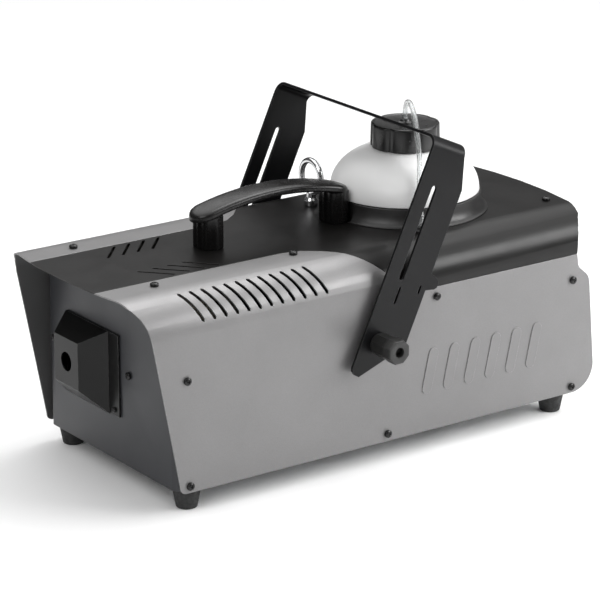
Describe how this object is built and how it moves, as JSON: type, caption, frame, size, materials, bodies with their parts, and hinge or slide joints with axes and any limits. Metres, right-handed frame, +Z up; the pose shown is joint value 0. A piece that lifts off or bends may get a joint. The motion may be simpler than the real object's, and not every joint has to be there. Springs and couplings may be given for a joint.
{
  "type": "fog machine",
  "caption": "Stage fog machine: rounded sheet-metal case, sloping front with nozzle shroud, raised fluid tank, carry handle, tilting hanging bracket and rubber feet.",
  "frame": {"origin": "middle of the bounding box, on the floor under the feet", "axes": "+Z up, +Y from the nozzle end towards the rear panel, +X to the right seen from the nozzle side facing the machine's rear"},
  "size_m": [0.3416, 0.576, 0.3356],
  "materials": {
    "bare_steel": "zinc-plated sheet",
    "silver_paint": "satin silver-grey powder coat",
    "charcoal_paint": "satin charcoal powder coat",
    "cover_paint": "satin black powder coat",
    "black_paint": "satin black powder coat",
    "bracket_paint": "fine-textured black powder coat",
    "pump_paint": "black enamel",
    "brass": "turned",
    "cast_aluminium": "as cast",
    "insulation": "woven mineral wool",
    "clear_tube": "clear flexible tube",
    "collar_plastic": "satin black moulding",
    "tank_plastic": "translucent natural polyethylene",
    "black_plastic": "fine-grained moulding",
    "cap_plastic": "satin black moulding",
    "handle_plastic": "satin black moulding",
    "knob_plastic": "satin black moulding",
    "bright_plating": "polished plating",
    "board_laminate": "coated laminate",
    "socket_metal": "satin die casting",
    "display_pane": "tinted glossy pane",
    "button_rubber": "matt",
    "foot_rubber": "matt",
    "screw_coating": "black oxide"
  },
  "bodies": {
    "machine": {"base_tray": "bare_steel", "front_plate": "charcoal_paint", "rear_panel": "black_paint", "right_side_panel": "silver_paint", "left_side_panel": "silver_paint", "top_cover": "cover_paint", "nozzle_shroud": "black_paint", "nozzle_flange": "black_paint", "nozzle": "brass", "heater_block": "cast_aluminium", "heater_jacket": "insulation", "heater_bracket_front": "bare_steel", "heater_bracket_rear": "bare_steel", "pump_bracket": "bare_steel", "pump_body": "pump_paint", "pressure_pipe": "bare_steel", "suction_hose": "clear_tube", "tank_collar": "collar_plastic", "fluid_tank": "tank_plastic", "tank_cradle": "black_plastic", "pickup_tube": "clear_tube", "tube_fitting": "black_plastic", "carry_handle": "handle_plastic", "lifting_eye": "bright_plating", "eye_nut": "bare_steel", "power_module": "bare_steel", "control_board": "board_laminate", "board_bracket": "bare_steel", "switch_housing": "black_plastic", "power_inlet": "black_plastic", "fuse_holder": "black_plastic", "dmx_in": "socket_metal", "dmx_out": "socket_metal", "display_window": "display_pane", "foot_front_right": "foot_rubber", "foot_front_left": "foot_rubber", "foot_rear_right": "foot_rubber", "foot_rear_left": "foot_rubber", "pivot_spacer_right": "black_plastic", "pivot_nut_right": "bare_steel", "pivot_spacer_left": "black_plastic", "pivot_nut_left": "bare_steel", "cover_screw_front_right": "screw_coating", "cover_screw_front_left": "screw_coating", "cover_screw_middle_right": "screw_coating", "cover_screw_middle_left": "screw_coating", "cover_screw_rear_right": "screw_coating", "cover_screw_rear_left": "screw_coating"},
    "bracket": {"hanging_bracket": "bracket_paint"},
    "knob_right": {"clamp_knob_right": "knob_plastic"},
    "knob_left": {"clamp_knob_left": "knob_plastic"},
    "cap": {"tank_cap": "cap_plastic", "cap_gland": "cap_plastic"},
    "rocker": {"power_rocker": "black_plastic"},
    "button_1": {"menu_button_1": "button_rubber"},
    "button_2": {"menu_button_2": "button_rubber"},
    "button_3": {"menu_button_3": "button_rubber"},
    "button_4": {"menu_button_4": "button_rubber"},
    "fuse_carrier": {"fuse_cap": "black_plastic"},
    "plunger": {"pump_plunger": "bare_steel"}
  },
  "joints": [
    {"name": "bracket_tilt", "type": "hinge", "parent": "machine", "child": "bracket", "pos_m": [0, -0.0035, 0.1335], "axis": [1, 0, 0], "range_deg": [0, 84]},
    {"name": "knob_right_turn", "type": "hinge", "parent": "machine", "child": "knob_right", "pos_m": [0.1358, -0.0035, 0.1335], "axis": [1, 0, 0], "continuous": true},
    {"name": "knob_left_turn", "type": "hinge", "parent": "machine", "child": "knob_left", "pos_m": [-0.1358, -0.0035, 0.1335], "axis": [1, 0, 0], "continuous": true},
    {"name": "tank_cap_turn", "type": "hinge", "parent": "machine", "child": "cap", "pos_m": [0, 0.131, 0.297], "axis": [0, 0, 1], "continuous": true},
    {"name": "power_rocker_tip", "type": "hinge", "parent": "machine", "child": "rocker", "pos_m": [-0.058, 0.2563, 0.06], "axis": [1, 0, 0], "range_deg": [-14, 0]},
    {"name": "menu_button_1_press", "type": "slide", "parent": "machine", "child": "button_1", "axis": [0, -1, 0], "range_m": [0, 0.0015], "stiffness_N_per_m": 400},
    {"name": "menu_button_2_press", "type": "slide", "parent": "machine", "child": "button_2", "axis": [0, -1, 0], "range_m": [0, 0.0015], "stiffness_N_per_m": 400},
    {"name": "menu_button_3_press", "type": "slide", "parent": "machine", "child": "button_3", "axis": [0, -1, 0], "range_m": [0, 0.0015], "stiffness_N_per_m": 400},
    {"name": "menu_button_4_press", "type": "slide", "parent": "machine", "child": "button_4", "axis": [0, -1, 0], "range_m": [0, 0.0015], "stiffness_N_per_m": 400},
    {"name": "fuse_cap_turn", "type": "hinge", "parent": "machine", "child": "fuse_carrier", "pos_m": [0.006, 0.2558, 0.06], "axis": [0, 1, 0], "range_deg": [0, 60]},
    {"name": "pump_plunger_stroke", "type": "slide", "parent": "machine", "child": "plunger", "axis": [1, 0, 0], "range_m": [-0.003, 0.003], "stiffness_N_per_m": 500}
  ]
}
